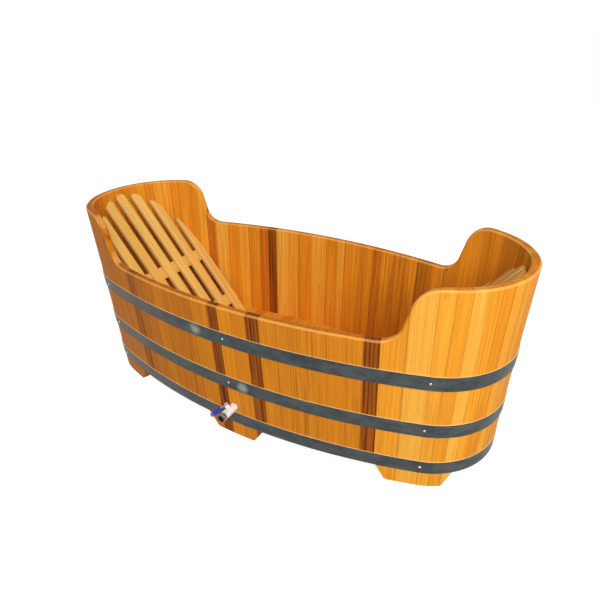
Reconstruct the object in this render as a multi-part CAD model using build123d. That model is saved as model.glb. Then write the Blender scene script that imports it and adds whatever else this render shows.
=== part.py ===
from build123d import *
import os
from math import acos, atan, atan2, cos, degrees, hypot, radians, sin, sqrt, tan

# A free-standing oval bath built like a cask. Upright staves stand side by side in a ring,
# three steel hoops hold them, and six groups of staves run on down as feet. A boarded floor
# sits in a groove in the staves. At each end a slatted backrest leans on the end wall and
# lifts out. A ball valve drains the tub through the middle of the front side.
# Sizes are millimetres. X runs along the tub, -Y is the side with the valve, Z is up.

# Tub
LENGTH = 1900.0
WIDTH = 800.0
HIGH_RIM = 800.0
LOW_RIM = 600.0
END_RADIUS = 311.4
FLARE = 0.0473
WALL = 30.0
RIM_STEP_FROM_END = 390.0
RIM_HOLLOW_RADIUS = 80.0
RIM_SHOULDER_RADIUS = 95.0
RIM_STEP_ANGLE = 74.5
RIM_OUTER_BEVEL = 6.0
RIM_INNER_BEVEL = 5.0

# Staves, as widths along the outside from left to right
REFERENCE_HEIGHT = 500.0
FRONT_STAVES = (75, 66, 64, 52, 53, 67, 67, 77, 74, 82, 47, 55, 63, 49, 69, 60, 75, 45, 69, 52, 52, 78, 80)
BACK_STAVES = (47, 48, 47, 68, 59, 60, 63, 44, 47, 60, 63, 64, 81, 61, 40, 72, 35, 36, 36, 67, 61, 59,
               61, 60, 60, 79)
END_STAVE_WIDTH = 44.3
STAVES_IN_GROUP = 4.5

# Feet
FOOT_HEIGHT = 67.0
MIDDLE_FOOT = (90.0, 135.0)
CORNER_FOOT = (105.0, 140.0)
CORNER_FOOT_INSET = 9.0
FOOT_TOE_ROUND = 14.0
FOOT_HOLLOW_ROUND = 15.0

# Floor
FLOOR_TOP = 144.0
FLOOR_THICKNESS = 24.0
FLOOR_BOARD_WIDTH = 52.0
FLOOR_GROOVE = 7.0
FLOOR_END_GAP = 0.2
BEARER_LENGTH = 1300.0
BEARER_WIDTH = 40.0
BEARER_HEIGHT = 22.0
BEARER_SPREAD = 300.0
BOARDS_PER_SCREW = 3

# Hoops
HOOP_TOPS = {"top": 496.5, "middle": 296.5, "bottom": 124.0}
HOOP_HEIGHT = 56.0
HOOP_THICKNESS = 3.0
HOOP_SEAT = 0.1
HOOP_EDGE = 0.5
LAP_FROM_BACK_MIDDLE = 260.0
LAP_LENGTH = 70.0
RIVET_SPACING = 36.0
RIVET_SHANK = 5.0
RIVET_HEAD = (10.0, 2.5)
HOOP_SCREW_FROM_TANGENT = 6.0
HOOP_SCREW_SHANK = (4.0, 18.0)
HOOP_SCREW_HEAD = (9.0, 2.4)
HOOP_SCREW_FROM_DRAIN = 65.0

# Backrests
REST_ANGLE = 51.5
REST_FOOT_FROM_END = 553.1
REST_WALL_GAP = 0.5
SLATS_EACH_SIDE = 3
SLAT_PITCH = 81.0
SLAT_WIDTH = 46.0
SLAT_THICKNESS = 19.0
SLAT_EDGE_ROUND = 3.5
SLAT_TIP_ROUND = 18.0
SLAT_TIP_LEAST = 0.5
REST_HALF_WIDTH = 266.0
BATTEN_THICKNESS = 20.0
BATTEN_WIDTH = 58.0
LOWER_BATTEN_AT = 119.0
UPPER_BATTEN_AT = 391.0
LOWER_BATTEN_OVERHANG = 20.0
REST_SCREW_SHANK = (4.0, 32.0)
REST_SCREW_HEAD = (8.0, 2.0)

# Drain, with distances outwards from the wall's outer face
DRAIN_X = 12.0
DRAIN_ABOVE_FLOOR = 8.0
PIPE_BORE = 15.0
PIPE_DIAMETER = 21.0
PIPE_END = 18.0
DRAIN_HOLE = 22.0
SEAT_DIAMETER = 36.0
SEAT_DEPTH = 1.0
SUMP_DEPTH = 11.0
FLANGE_DIAMETER = 34.0
FLANGE_THICKNESS = 3.0
WASHER_THICKNESS = 2.0
STRAINER_DIAMETER = 24.0
STRAINER_THICKNESS = 1.5
STRAINER_HOLE = 3.6
STRAINER_PITCH = 5.2
LOCK_NUT_ACROSS = 30.0
LOCK_NUT_THICKNESS = 6.0

# Ball valve, with distances outwards from the wall's outer face
VALVE_START = 8.5
VALVE_HEX_ACROSS = 30.0
BARREL_START = 15.0
BARREL_DIAMETER = 33.0
BARREL_END = 51.0
CHAMBER_MARGIN = 0.5
PLUG_DIAMETER = 27.0
END_PIECE_END = 66.0
OUTLET_THREAD = 18.6
OUTLET_THREAD_START = 54.0
BALL_DIAMETER = 25.0
RUNNING_CLEARANCE = 0.05
SEAT_RING_THICKNESS = 5.0
ADAPTOR_WASHER = (26.0, 2.0)
ADAPTOR_NECK = 22.0
ADAPTOR_COLLAR = 32.0
ADAPTOR_COLLAR_START = 72.0
ADAPTOR_END = 86.0
ADAPTOR_BORE = 24.1
ADAPTOR_BORE_START = 75.0

# Stem and lever, with distances along the stem from the pipe's centre line
STEM_AT = 32.0
STEM_LEAN = 30.0
STEM_DIAMETER = 9.0
STEM_THREAD = 7.0
TANG = (5.0, 7.4)
TANG_DEPTH = 3.5
BOSS_DIAMETER = 17.0
BOSS_TOP = 22.0
PACKING_DIAMETER = 12.0
PACKING_START = 18.0
PACKING_THICKNESS = 2.5
GLAND_NUT_ACROSS = 15.0
GLAND_NUT_TOP = 27.0
LEVER_START = 28.0
LEVER_THICKNESS = 2.5
LEVER_NUT_ACROSS = 12.0
LEVER_NUT_THICKNESS = 5.5
LEVER_LENGTH = 80.0
LEVER_HEAD_RADIUS = 9.0
LEVER_ARM_WIDTH = 13.0
LEVER_CRANK = (14.0, 24.0, 5.3)
SLEEVE_START = 38.0
SLEEVE_SECTION = (20.0, 13.5, 5.5)
SLEEVE_FLARE = 1.0
SLEEVE_END_WALL = 2.0
SLEEVE_END_ROUND = 1.5

LOW = (Align.CENTER, Align.CENTER, Align.MIN)
HIGH = (Align.CENTER, Align.CENTER, Align.MAX)
FAR = 4000.0


# Room in the valve body for the ball: its faces stand clear of the ball by the margin, and its
# ends cut that much into the ball's reach, where the seats hold it
CHAMBER_DIAMETER = BALL_DIAMETER + 2 * CHAMBER_MARGIN
CHAMBER_START = STEM_AT - BALL_DIAMETER / 2 + CHAMBER_MARGIN
CHAMBER_END = STEM_AT + BALL_DIAMETER / 2 - CHAMBER_MARGIN


# Plan of the wall: an end arc at each end and a side arc along each side, all tangent, and all
# leaning out at the same rate, so that each arc is part of a true cone on a fixed upright axis
LEAN = degrees(atan(FLARE))
END_X = LENGTH / 2 - END_RADIUS


def end_radius(z):
    """Outside radius of an end arc at height z."""
    return END_RADIUS - FLARE * (HIGH_RIM - z)


def half_width(z):
    """Half the outside width of the tub's middle at height z."""
    return WIDTH / 2 - FLARE * (LOW_RIM - z)


BULGE = half_width(LOW_RIM) - end_radius(LOW_RIM)
SIDE_Y = (END_X ** 2 - BULGE ** 2) / (2 * BULGE)
TANGENT = degrees(atan2(END_X, SIDE_Y))


def side_radius(z):
    """Outside radius of a side arc at height z."""
    return SIDE_Y + half_width(z)


HALF_SIDE = side_radius(REFERENCE_HEIGHT) * radians(TANGENT)
HALF_END = end_radius(REFERENCE_HEIGHT) * radians(90 - TANGENT)
ROUND = 4 * (HALF_SIDE + HALF_END)
END_STAVES = (1,) * max(2, round(2 * HALF_END / END_STAVE_WIDTH))

# Runs of the wall in order round the tub: name, arc centre, radius rule, first angle, length
# and stave widths. The back run goes from right to left, so its widths are turned round.
RUNS = (
    ("front", (0, SIDE_Y), side_radius, -90 - TANGENT, 2 * HALF_SIDE, FRONT_STAVES),
    ("right_end", (END_X, 0), end_radius, -90 + TANGENT, 2 * HALF_END, END_STAVES),
    ("back", (0, -SIDE_Y), side_radius, 90 - TANGENT, 2 * HALF_SIDE, BACK_STAVES[::-1]),
    ("left_end", (-END_X, 0), end_radius, 90 + TANGENT, 2 * HALF_END, END_STAVES),
)


def place(s):
    """Arc centre, radius rule and angle at distance s round the outside, at the reference
    height. 0 is the middle of the front, and s grows towards +X."""
    along = (s + HALF_SIDE) % ROUND
    for name, centre, radius, first, length, widths in RUNS:
        if along <= length:
            break
        along -= length
    return centre, radius, first + degrees(along / radius(REFERENCE_HEIGHT))


def apart(s, t):
    """Signed shortest way round the tub from t to s."""
    return (s - t + ROUND / 2) % ROUND - ROUND / 2


def wall_plane(s, z, out=0.0):
    """A plane on the wall's outer face at s and z, stood off by out, facing away from it."""
    centre, radius, angle = place(s)
    around, lean = radians(angle), radians(LEAN)
    reach = radius(z) + out
    origin = (centre[0] + reach * cos(around), centre[1] + reach * sin(around), z)
    facing = (cos(around) * cos(lean), sin(around) * cos(lean), -sin(lean))
    return Plane(origin=origin, x_dir=(-sin(around), cos(around), 0), z_dir=facing)


def oval(z, outset):
    """The plan at height z, as a face that stands outset from the wall's outer line."""
    end, side = end_radius(z) + outset, side_radius(z) + outset
    arcs = (
        CenterArc((END_X, 0), end, TANGENT - 90, 180 - 2 * TANGENT),
        CenterArc((0, -SIDE_Y), side, 90 - TANGENT, 2 * TANGENT),
        CenterArc((-END_X, 0), end, 90 + TANGENT, 180 - 2 * TANGENT),
        CenterArc((0, SIDE_Y), side, 270 - TANGENT, 2 * TANGENT),
    )
    return Pos(0, 0, z) * make_face(arcs)


def oval_block(bottom, top, outset):
    """A solid with the wall's oval plan and lean, from bottom to top."""
    return extrude(oval(bottom, outset), amount=top - bottom, taper=-LEAN)


def sector(centre, outline, first, sweep):
    """An outline of (radius, height) corners turned about the upright line at centre."""
    face = Plane.XZ * Polygon(*outline, align=None)
    return Pos(centre[0], centre[1], 0) * Rot(0, 0, first) * revolve(face, Axis.Z, sweep)


def bar(plane, diameter, start, stop):
    """A round bar along a plane's normal, from start to stop."""
    return plane.location * Pos(0, 0, start) * Cylinder(diameter / 2, stop - start, align=LOW)


def tube(plane, outside, inside, start, stop):
    """A round tube along a plane's normal."""
    return bar(plane, outside, start, stop) - bar(plane, inside, start, stop)


def hexagon(plane, across, start, stop):
    """A six-sided bar along a plane's normal."""
    section_face = RegularPolygon(radius=across / sqrt(3), side_count=6)
    return plane.location * Pos(0, 0, start) * extrude(section_face, amount=stop - start)


def domed_screw(plane, shank, head):
    """A shank of (diameter, length) into a plane, under a domed head of (diameter, height)."""
    dome = Cylinder(head[0] / 2, head[1], align=LOW)
    dome = fillet(dome.edges().group_by(Axis.Z)[-1], head[1] * 0.8)
    return plane.location * (dome + Cylinder(shank[0] / 2, shank[1], align=HIGH))


# Y shift that puts the origin under the middle of the whole object, with its valve lever
DRAIN_Z = FLOOR_TOP + DRAIN_ABOVE_FLOOR
WALL_AT_DRAIN = half_width(DRAIN_Z)
FRONT_REACH = WALL_AT_DRAIN + STEM_AT + LEVER_LENGTH
SHIFT_Y = (FRONT_REACH - WIDTH / 2) / 2


def save(name, shapes):
    """Write the shapes of one sub-part, moved from the tub's own middle to the origin."""
    solids = [Pos(0, SHIFT_Y, 0) * solid for shape in shapes for solid in shape.solids()]
    os.makedirs("parts", exist_ok=True)
    export_step(Compound(children=solids), f"parts/{name}.step")


def rim_cutter():
    """What lies above the rim, seen from the side: low in the middle, and at each end a
    hollow, a steep rise and a shoulder up to the high rim."""
    foot_x = LENGTH / 2 - RIM_STEP_FROM_END
    angle = radians(RIM_STEP_ANGLE)
    bends = RIM_HOLLOW_RADIUS + RIM_SHOULDER_RADIUS
    rise = (HIGH_RIM - LOW_RIM - bends * (1 - cos(angle))) / sin(angle)
    hollow = JernArc((foot_x, LOW_RIM), (1, 0), RIM_HOLLOW_RADIUS, RIM_STEP_ANGLE)
    slope = Line(hollow @ 1, hollow @ 1 + (hollow % 1) * rise)
    shoulder = JernArc(slope @ 1, slope % 1, RIM_SHOULDER_RADIUS, -RIM_STEP_ANGLE)
    top = shoulder @ 1
    above = HIGH_RIM + WALL
    outline = Polyline(top, (top.X, above), (0, above), (0, LOW_RIM), (foot_x, LOW_RIM))
    half = Plane.XZ * make_face([hollow, slope, shoulder, outline])
    right = extrude(half, amount=WIDTH, both=True)
    return right + mirror(right, Plane.YZ)


def feet():
    """Middle of each foot round the tub, with its half widths at the floor and at the top."""
    corner = HALF_SIDE - CORNER_FOOT_INSET
    back = ROUND / 2
    return (
        (0.0, MIDDLE_FOOT), (corner, CORNER_FOOT), (-corner, CORNER_FOOT),
        (back, MIDDLE_FOOT), (back + corner, CORNER_FOOT), (back - corner, CORNER_FOOT),
    )


def foot_flank(middle, widths, side):
    """What is sawn away beside a foot: its slanted flank and the room next to it."""
    at = middle + side * (widths[0] + widths[1]) / 2
    centre, radius, angle = place(at)
    around = radians(angle)
    half = (widths[1] - widths[0]) / 2 * radius(0) / radius(REFERENCE_HEIGHT)
    reach = radius(0) - WALL / 2
    origin = (centre[0] + reach * cos(around), centre[1] + reach * sin(around), 0)
    away = (-side * sin(around), side * cos(around), 0)
    plane = Plane(origin=origin, x_dir=away, z_dir=(side * cos(around), side * sin(around), 0))
    past_stave = max(FRONT_STAVES + BACK_STAVES) + half
    edge = FilletPolyline(
        (-half - 2 * FOOT_TOE_ROUND, -WALL), (-half - 2 * FOOT_TOE_ROUND, 0), (-half, 0),
        (half, FOOT_HEIGHT), (past_stave, FOOT_HEIGHT), (past_stave, -WALL),
        radius=(0, FOOT_TOE_ROUND, FOOT_HOLLOW_ROUND, 0), close=False)
    floor = Line(edge @ 1, edge @ 0)
    return extrude(plane * make_face([edge, floor]), amount=2 * WALL, both=True)


def stave_outline(radius):
    """Radius and height corners of an upright section through the wall."""
    floor_bottom = FLOOR_TOP - FLOOR_THICKNESS
    return (
        (radius(0), 0), (radius(HIGH_RIM), HIGH_RIM), (radius(HIGH_RIM) - WALL, HIGH_RIM),
        (radius(FLOOR_TOP) - WALL, FLOOR_TOP), (radius(FLOOR_TOP) - WALL + FLOOR_GROOVE, FLOOR_TOP),
        (radius(floor_bottom) - WALL + FLOOR_GROOVE, floor_bottom),
        (radius(floor_bottom) - WALL, floor_bottom), (radius(0) - WALL, 0),
    )


def wall_room(radius, bottom):
    """Radius and height corners of a section that takes in the wall from bottom up."""
    near, far, top = radius(0) - 2 * WALL, radius(HIGH_RIM) + WALL, HIGH_RIM + WALL
    return (near, bottom), (near, top), (far, top), (far, bottom)


def rim_edges(wall, inset):
    """The wall's edges along the rim that lie on one of its cones, set in by inset."""
    found = []
    for edge in wall.edges():
        points = [edge @ 0, edge @ 0.5, edge @ 1]
        upright = abs((edge % 0.5).Z) > cos(radians(LEAN + 1))
        if upright or min(p.Z for p in points) < LOW_RIM - 1:
            continue
        for name, centre, radius, first, length, widths in RUNS:
            off = [hypot(p.X - centre[0], p.Y - centre[1]) - radius(p.Z) + inset for p in points]
            if max(map(abs, off)) < 0.02:
                found.append(edge)
                break
    return found


def wall_ring():
    """The whole wall in one piece, grooved for the floor, sawn along the rim and eased there."""
    ring = None
    for name, centre, radius, first, length, widths in RUNS:
        piece = sector(centre, stave_outline(radius), first, degrees(length / radius(REFERENCE_HEIGHT)))
        ring = piece if ring is None else ring + piece
    ring = ring - rim_cutter()
    ring = chamfer(rim_edges(ring, 0.0), RIM_OUTER_BEVEL)
    return chamfer(rim_edges(ring, WALL), RIM_INNER_BEVEL)


def drain_frame():
    """The pipe's line: origin on the wall's outer face, normal straight out of the front."""
    return Plane(origin=(DRAIN_X, -WALL_AT_DRAIN, DRAIN_Z), x_dir=(1, 0, 0), z_dir=(0, -1, 0))


def drain_cutter():
    """The hole for the pipe, and the flat seats for its washers inside and outside."""
    pipe = drain_frame()
    inner = SEAT_DEPTH - WALL
    hole = bar(pipe, DRAIN_HOLE, inner - SUMP_DEPTH, WALL)
    sump = bar(pipe, SEAT_DIAMETER, inner - SUMP_DEPTH, inner)
    return hole + sump + bar(pipe, SEAT_DIAMETER, -SEAT_DEPTH, WALL)


def hoop_screws():
    """A domed screw through each hoop at the middle and both ends of each side, but none
    close by the drain."""
    corner = HALF_SIDE + HOOP_SCREW_FROM_TANGENT
    back = ROUND / 2
    places = (0.0, corner, -corner, back, back + corner, back - corner)
    proud = HOOP_SEAT + HOOP_THICKNESS
    screws = []
    for top in HOOP_TOPS.values():
        for s in places:
            height = top - HOOP_HEIGHT / 2
            if hypot(apart(s, DRAIN_X), height - DRAIN_Z) > HOOP_SCREW_FROM_DRAIN:
                plane = wall_plane(s, height, proud)
                screws.append((s, domed_screw(plane, HOOP_SCREW_SHANK, HOOP_SCREW_HEAD)))
    return screws


def wall_runs(screws):
    """The wall's two sides and two ends, each in one piece, cut out between the feet, and
    drilled for the screws and the drain."""
    ring = wall_ring()
    flanks = [(middle + side * sum(widths) / 2, foot_flank(middle, widths, side))
              for middle, widths in feet() for side in (-1, 1)]
    made = {}
    start = -HALF_SIDE
    for name, centre, radius, first, length, widths in RUNS:
        sweep = degrees(length / radius(REFERENCE_HEIGHT))
        wall = ring & sector(centre, wall_room(radius, 0.0), first, sweep)
        middle = start + length / 2
        for at, cutter in flanks + [(s, screw) for s, screw in screws]:
            if abs(apart(at, middle)) < length / 2 + WALL:
                wall = wall - cutter
        if name == "front":
            wall = wall - drain_cutter()
        made[name] = wall
        start += length
    return made


def staves(runs):
    """The runs of the wall parted into staves on radial planes, as a list for each run.
    Staves that don't stand on a foot stop short of the ground."""
    made = {}
    start = -HALF_SIDE
    for name, centre, radius, first, length, widths in RUNS:
        made[name] = []
        edge = 0.0
        for width in widths:
            wide = width * length / sum(widths)
            middle = start + edge + wide / 2
            on_foot = any(abs(apart(middle, foot)) < size[1] + wide / 2 for foot, size in feet())
            bottom = 0.0 if on_foot else FOOT_HEIGHT
            wedge = sector(
                centre, wall_room(radius, bottom), first + degrees(edge / radius(REFERENCE_HEIGHT)),
                degrees(wide / radius(REFERENCE_HEIGHT)))
            made[name].append(runs[name] & wedge)
            edge += wide
        start += length
    return made


def save_staves(made):
    """Write the staves in groups of neighbours."""
    for name, group in made.items():
        parts = max(1, round(len(group) / STAVES_IN_GROUP))
        for part in range(parts):
            members = group[len(group) * part // parts:len(group) * (part + 1) // parts]
            save(f"{name}_staves_{part + 1}", members)


def floor():
    """Boards across the tub with their ends in the staves' groove, two bearers under them
    and the screws that hold the bearers."""
    bottom = FLOOR_TOP - FLOOR_THICKNESS
    outset = FLOOR_GROOVE - FLOOR_END_GAP - WALL
    panel = oval_block(bottom, FLOOR_TOP, outset) - drain_cutter()
    inside = 2 * (END_X + end_radius(FLOOR_TOP) + outset)
    count = round(inside / FLOOR_BOARD_WIDTH)
    pitch = inside / count
    seats = [-inside / 2 + pitch * (i + 0.5) for i in range(count)]
    screwed = [x for x in seats[1::BOARDS_PER_SCREW] if abs(x) < BEARER_LENGTH / 2 - BEARER_WIDTH]
    screws = []
    for x in screwed:
        for side in (-1, 1):
            under = (x, side * BEARER_SPREAD / 2, bottom - BEARER_HEIGHT)
            plane = Plane(origin=under, x_dir=(1, 0, 0), z_dir=(0, 0, -1))
            screws.append(domed_screw(plane, REST_SCREW_SHANK, REST_SCREW_HEAD))
    drilled = Compound(children=[solid for screw in screws for solid in screw.solids()])
    boards = []
    for x in seats:
        strip = Pos(x, 0, bottom) * Box(pitch, FAR, FLOOR_THICKNESS, align=LOW)
        board = panel & strip
        if x in screwed:
            board = board - drilled
        boards.append(board)
    bearers = []
    for side in (-1, 1):
        beam = Pos(0, side * BEARER_SPREAD / 2, bottom - BEARER_HEIGHT) * Box(
            BEARER_LENGTH, BEARER_WIDTH, BEARER_HEIGHT, align=LOW)
        bearers.append(beam - drilled)
    third = (len(boards) + 2) // 3
    save("left_floor_boards", boards[:third])
    save("middle_floor_boards", boards[third:2 * third])
    save("right_floor_boards", boards[2 * third:])
    save("floor_bearers", bearers)
    save("floor_bearer_screws", screws)


def hoops(screws):
    """Three flat steel hoops, each with its riveted lap at the back."""
    drilled = Compound(children=[solid for s, screw in screws for solid in screw.solids()])
    rivets = []
    lap_at = ROUND / 2 - LAP_FROM_BACK_MIDDLE
    for name, top in HOOP_TOPS.items():
        bottom = top - HOOP_HEIGHT

        def band(radius, layer):
            inner, outer = HOOP_SEAT + layer * HOOP_THICKNESS, HOOP_SEAT + (layer + 1) * HOOP_THICKNESS
            return (
                (radius(bottom) + inner, bottom), (radius(bottom) + outer - HOOP_EDGE, bottom),
                (radius(bottom + HOOP_EDGE) + outer, bottom + HOOP_EDGE),
                (radius(top - HOOP_EDGE) + outer, top - HOOP_EDGE),
                (radius(top) + outer - HOOP_EDGE, top), (radius(top) + inner, top),
            )

        hoop = None
        for run, centre, radius, first, length, widths in RUNS:
            piece = sector(centre, band(radius, 0), first, degrees(length / radius(REFERENCE_HEIGHT)))
            hoop = piece if hoop is None else hoop + piece
        centre, radius, angle = place(lap_at)
        sweep = degrees(LAP_LENGTH / radius(REFERENCE_HEIGHT))
        hoop = hoop + sector(centre, band(radius, 1), angle - sweep / 2, sweep)
        for along in (-RIVET_SPACING / 2, RIVET_SPACING / 2):
            proud = HOOP_SEAT + 2 * HOOP_THICKNESS
            plane = wall_plane(lap_at + along, (top + bottom) / 2, proud)
            rivets.append(domed_screw(plane, (RIVET_SHANK, 2 * HOOP_THICKNESS), RIVET_HEAD))
            hoop = hoop - rivets[-1]
        save(f"{name}_hoop", [hoop - drilled])
    save("hoop_rivets", rivets)
    save("hoop_screws", [screw for s, screw in screws])


def tip_round(slat, edge, width):
    """Radius for a corner at a slat's upper end. A sharper corner gets a smaller one, so that the
    round takes about as much off each tip, and a corner that is nearly straight gets none."""
    here = edge @ 0.5
    sides = [f.normal_at(here) for f in slat.faces() if any(e.is_same(edge) for e in f.edges())]
    turn = degrees(acos(max(-1.0, min(1.0, sides[0].dot(sides[1])))))
    if turn < 5:
        return 0.0
    most = SLAT_TIP_ROUND * width / SLAT_WIDTH
    wanted = most * tan(radians(90 - turn / 2))
    return max(min(wanted, most), SLAT_EDGE_ROUND + SLAT_TIP_LEAST)


def backrests():
    """Slatted backrests that lean on the end walls. The left one is built, the right one is
    its mirror image."""
    slope = radians(REST_ANGLE)
    front = Plane(
        origin=(REST_FOOT_FROM_END - LENGTH / 2, 0, FLOOR_TOP),
        x_dir=(0, 1, 0), z_dir=(sin(slope), 0, cos(slope)))
    room = oval_block(0, HIGH_RIM + WALL, -WALL - REST_WALL_GAP)
    outline = section(room, section_by=front.offset(-SLAT_THICKNESS))
    slab = extrude(outline, amount=SLAT_THICKNESS, dir=front.z_dir)
    above_floor = Pos(0, 0, FLOOR_TOP) * Box(FAR, FAR, FAR, align=LOW)
    slab = slab & above_floor

    def block(low_y, high_y, low_t, high_t, low_n, high_n):
        size = (high_y - low_y, high_t - low_t, high_n - low_n)
        middle = Pos((high_y + low_y) / 2, (high_t + low_t) / 2, low_n)
        return front.location * middle * Box(*size, align=LOW)

    spans = []
    for k in range(-SLATS_EACH_SIDE, SLATS_EACH_SIDE + 1):
        low, high = SLAT_PITCH * k - SLAT_WIDTH / 2, SLAT_PITCH * k + SLAT_WIDTH / 2
        spans.append((max(low, -REST_HALF_WIDTH), min(high, REST_HALF_WIDTH)))

    back = -SLAT_THICKNESS - BATTEN_THICKNESS
    screws = []
    for low, high in spans:
        for t in (LOWER_BATTEN_AT, UPPER_BATTEN_AT):
            behind = front.location * Pos((low + high) / 2, t, back) * Rot(180, 0, 0)
            screws.append(domed_screw(Plane(behind), REST_SCREW_SHANK, REST_SCREW_HEAD))
    drilled = Compound(children=[solid for screw in screws for solid in screw.solids()])

    slats = []
    for low, high in spans:
        slat = slab & block(low, high, -FAR, FAR, -SLAT_THICKNESS, 0)
        through = [e for e in slat.edges() if abs((e % 0.5).dot(front.z_dir)) > 0.99]
        tips = [e for e in through if (e @ 0.5).Z > FLOOR_TOP + LOWER_BATTEN_AT]
        for at, radius in [(e @ 0.5, tip_round(slat, e, high - low)) for e in tips]:
            if radius > 0:
                slat = fillet(min(slat.edges(), key=lambda e: (e @ 0.5 - at).length), radius)
        face = slat.faces().filter_by(lambda f: f.normal_at().dot(front.z_dir) > 0.99)[0]
        rounded = [e for e in face.edges() if (e @ 0.5).Z > FLOOR_TOP + 1]
        slat = fillet(rounded, SLAT_EDGE_ROUND)
        slats.append(slat - drilled)

    lower_half = REST_HALF_WIDTH + LOWER_BATTEN_OVERHANG
    half = BATTEN_WIDTH / 2
    lower = block(-lower_half, lower_half, LOWER_BATTEN_AT - half, LOWER_BATTEN_AT + half,
                  back, -SLAT_THICKNESS) & room
    upper = block(-REST_HALF_WIDTH, REST_HALF_WIDTH, UPPER_BATTEN_AT - half,
                  UPPER_BATTEN_AT + half, back, -SLAT_THICKNESS) & room
    pieces = {"slats": slats, "lower_batten": [lower - drilled], "upper_batten": [upper - drilled],
              "screws": screws}
    for name, shapes in pieces.items():
        save(f"left_backrest_{name}", shapes)
        save(f"right_backrest_{name}", [mirror(shape, Plane.YZ) for shape in shapes])


def drain():
    """The pipe through the wall with its strainer, washers and lock nut."""
    pipe = drain_frame()
    inner_seat, outer_seat = SEAT_DEPTH - WALL, -SEAT_DEPTH
    flange_back = inner_seat - WASHER_THICKNESS
    flange_front = flange_back - FLANGE_THICKNESS
    strainer_back = flange_front + STRAINER_THICKNESS
    fitting = bar(pipe, FLANGE_DIAMETER, flange_front, flange_back)
    fitting = fitting + bar(pipe, PIPE_DIAMETER, flange_back, PIPE_END)
    fitting = fitting - bar(pipe, PIPE_BORE, flange_front, PIPE_END)
    fitting = fitting - bar(pipe, STRAINER_DIAMETER, flange_front, strainer_back)
    save("drain_pipe", [fitting])

    strainer = bar(pipe, STRAINER_DIAMETER, flange_front, strainer_back)
    holes = [(0.0, 0.0)] + [(STRAINER_PITCH * cos(radians(60 * k)), STRAINER_PITCH * sin(radians(60 * k)))
                            for k in range(6)]
    for x, y in holes:
        shifted = Plane(pipe.location * Pos(x, y, 0))
        strainer = strainer - bar(shifted, STRAINER_HOLE, flange_front, strainer_back)
    save("drain_strainer", [strainer])

    save("drain_inner_washer", [tube(pipe, FLANGE_DIAMETER, PIPE_DIAMETER, flange_back, inner_seat)])
    washer_out = outer_seat + WASHER_THICKNESS
    save("drain_outer_washer", [tube(pipe, FLANGE_DIAMETER, PIPE_DIAMETER, outer_seat, washer_out)])
    nut_out = washer_out + LOCK_NUT_THICKNESS
    nut = hexagon(pipe, LOCK_NUT_ACROSS, washer_out, nut_out) - bar(pipe, PIPE_DIAMETER, washer_out, nut_out)
    save("drain_lock_nut", [nut])


def stem_frame():
    """The stem's line: origin on the pipe's centre line, x out of the front."""
    lean = radians(STEM_LEAN)
    return Plane(origin=(DRAIN_X, -WALL_AT_DRAIN - STEM_AT, DRAIN_Z),
                 x_dir=(0, -1, 0), z_dir=(-sin(lean), 0, cos(lean)))


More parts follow.
